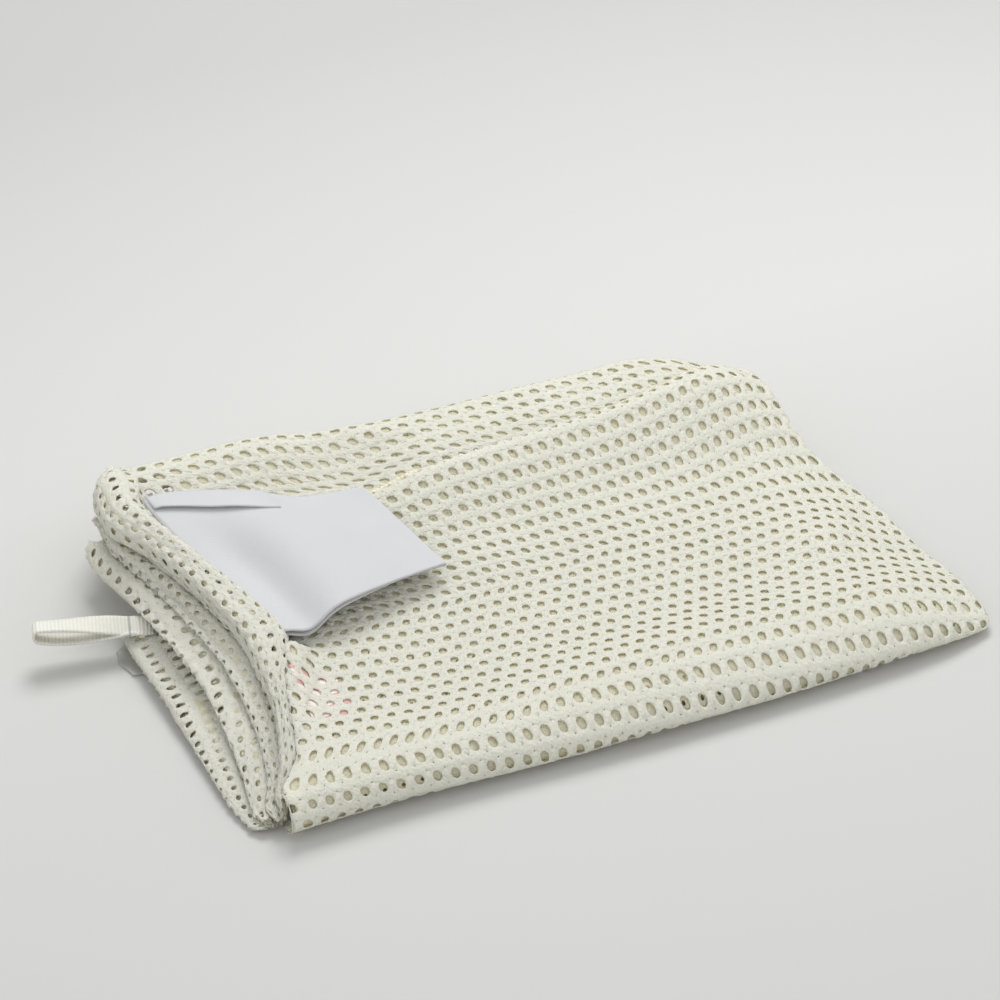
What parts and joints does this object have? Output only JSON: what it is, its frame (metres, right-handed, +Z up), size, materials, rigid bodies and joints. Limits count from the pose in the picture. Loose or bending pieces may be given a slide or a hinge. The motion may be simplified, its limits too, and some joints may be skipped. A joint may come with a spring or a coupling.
{
  "type": "mesh laundry bag",
  "caption": "Zipped wash bag of round-holed mesh, folded flat, with a woven flap over the zip end, a hanging tape loop and a care label.",
  "frame": {"origin": "on the surface the folded bag lies on, under the middle of its outline with the hanging loop", "axes": "+Z up, +X along the folded front edge away from the mouth, +Y from the front fold to the back"},
  "size_m": [0.2524, 0.1388, 0.0328],
  "materials": {
    "mesh_cloth": "matt off-white polyester mesh",
    "seam_thread": "matt overlock thread, slightly yellow",
    "woven_cloth": "smooth fine twill, cool white",
    "zip_tape": "woven zip tape",
    "zip_plastic": "nylon coil",
    "zip_metal": "painted die casting",
    "loop_tape": "ribbed polyester tape",
    "label_satin": "thin satin label",
    "label_print": "satin label with pale red print"
  },
  "bodies": {
    "folded_bag": {"bottom_leaf_outer_panel": "mesh_cloth", "bottom_leaf_inner_panel": "mesh_cloth", "third_leaf_inner_panel": "mesh_cloth", "third_leaf_outer_panel": "mesh_cloth", "second_leaf_outer_panel": "mesh_cloth", "second_leaf_inner_panel": "mesh_cloth", "top_leaf_inner_panel": "mesh_cloth", "top_leaf_outer_panel": "mesh_cloth", "front_fold_outer_panel": "mesh_cloth", "front_fold_inner_panel": "mesh_cloth", "right_fold_lower": "mesh_cloth", "right_fold_upper": "mesh_cloth", "mouth_roll_top": "mesh_cloth", "mouth_band": "mesh_cloth", "mouth_roll_middle": "mesh_cloth", "mouth_roll_bottom": "mesh_cloth", "side_seam_upper": "seam_thread", "side_seam_lower": "seam_thread", "zip_tape_left": "zip_tape", "zip_tape_right": "zip_tape", "zip_coil_left": "zip_plastic", "zip_coil_right": "zip_plastic", "zip_top_stop_left": "zip_metal", "zip_top_stop_right": "zip_metal", "zip_bottom_stop": "zip_metal", "cover_flap_seam_allowance": "woven_cloth", "hang_loop_root": "loop_tape", "hang_loop_bartack": "seam_thread", "care_label": "label_satin", "inner_label": "label_print"},
    "cover_flap": {"cover_flap_upper_ply": "woven_cloth", "cover_flap_lower_ply": "woven_cloth", "cover_flap_folded_edge": "woven_cloth"},
    "hang_loop": {"hang_loop": "loop_tape"},
    "slider": {"zip_slider": "zip_metal"},
    "pull_tab": {"zip_pull_tab": "zip_metal"}
  },
  "joints": [
    {"name": "flap_lift", "type": "hinge", "parent": "folded_bag", "child": "cover_flap", "pos_m": [-0.08031, 0.04891, 0.0315], "axis": [0.2287, -0.9619, -0.1498], "range_deg": [0, 105]},
    {"name": "loop_swing", "type": "hinge", "parent": "folded_bag", "child": "hang_loop", "pos_m": [-0.09981, 0.02221, 0.0094], "axis": [0.2521, 0.9677, 0], "range_deg": [-10, 35]},
    {"name": "zip_run", "type": "slide", "parent": "folded_bag", "child": "slider", "axis": [0.2287, -0.9619, -0.1498], "range_m": [0, 0.03]},
    {"name": "tab_lift", "type": "hinge", "parent": "slider", "child": "pull_tab", "pos_m": [-0.07459, 0.04128, 0.0245], "axis": [-0.9729, -0.2313, 0], "range_deg": [0, 15]}
  ]
}
